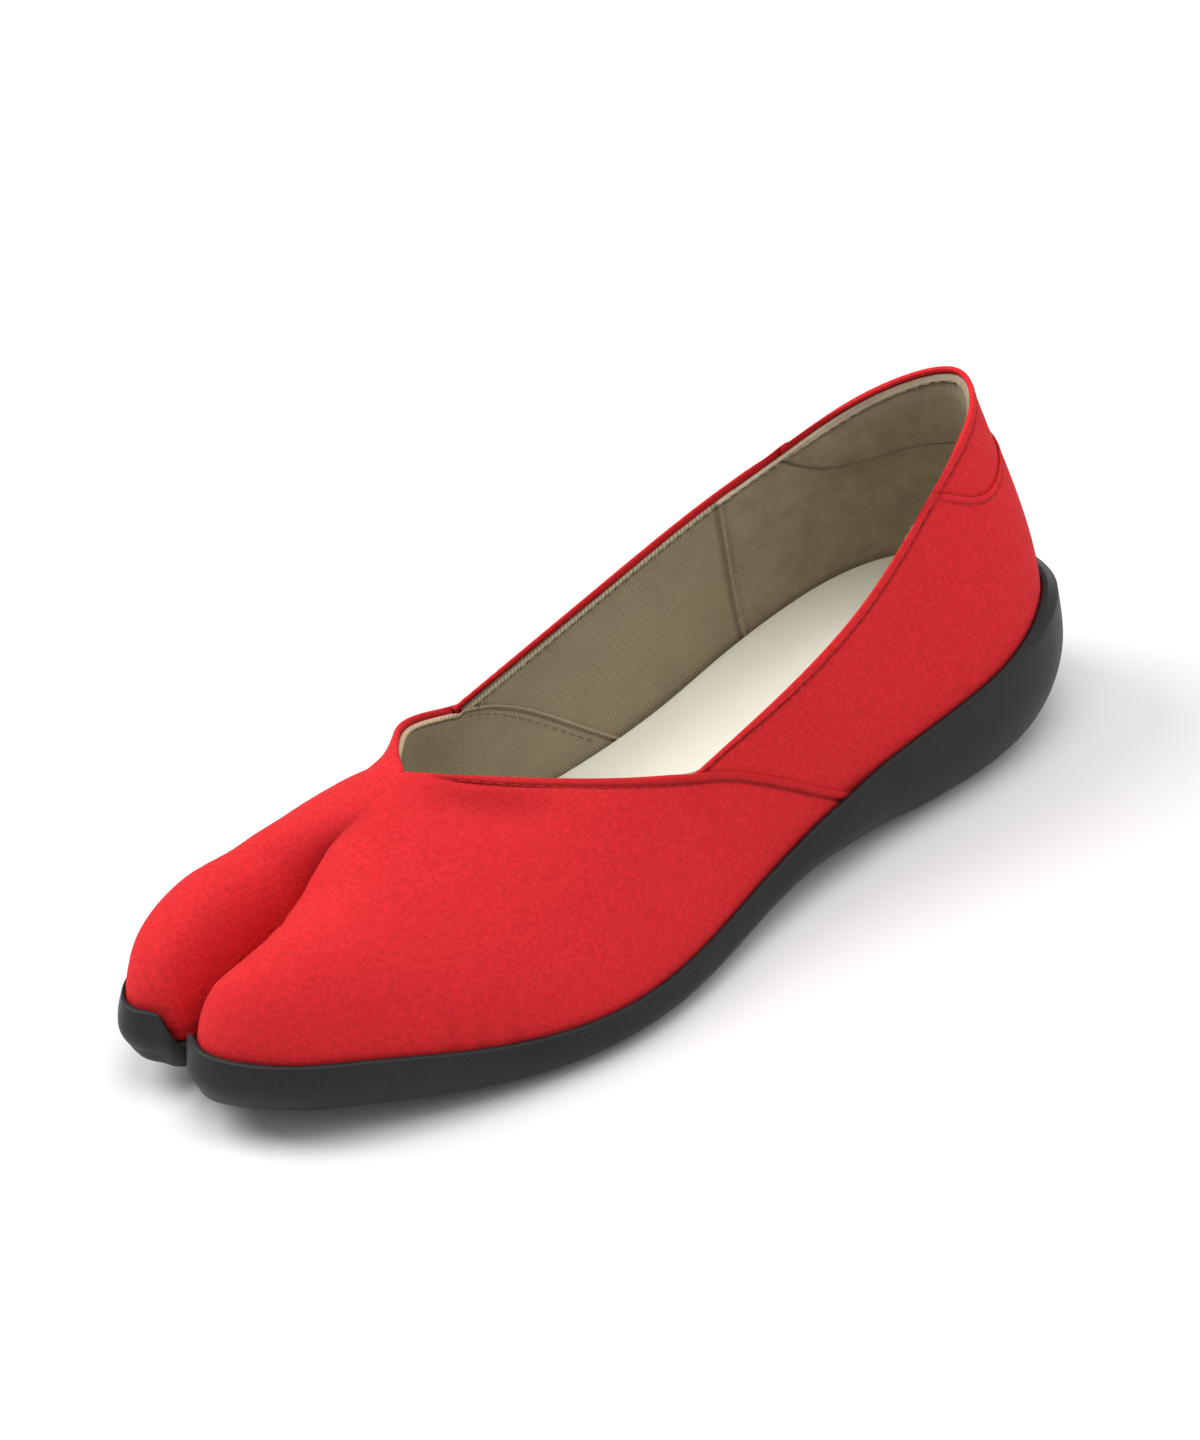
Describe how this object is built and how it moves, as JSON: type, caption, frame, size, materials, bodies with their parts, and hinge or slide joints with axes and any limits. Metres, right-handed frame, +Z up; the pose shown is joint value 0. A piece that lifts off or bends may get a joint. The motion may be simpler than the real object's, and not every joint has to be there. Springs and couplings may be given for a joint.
{
  "type": "tabi pump",
  "caption": "Slip-on pump for the left foot: split-toe cloth upper with a wrap vamp and heel tab, open low collar, flat insole and a moulded low wedge sole with a lip round the upper.",
  "frame": {"origin": "floor under the middle of the shoe's box", "axes": "+Y from the toe to the heel, +X to the outer side of the foot, +Z up"},
  "size_m": [0.0935, 0.2536, 0.0841],
  "materials": {
    "charcoal_rubber": "matte moulded foam rubber with a soft sheen",
    "red_suede": "red microsuede with a short nap",
    "cream_sheet": "smooth cream cloth over foam"
  },
  "bodies": {
    "root": {"outsole": "charcoal_rubber", "upper": "red_suede", "insole": "cream_sheet"}
  },
  "joints": []
}
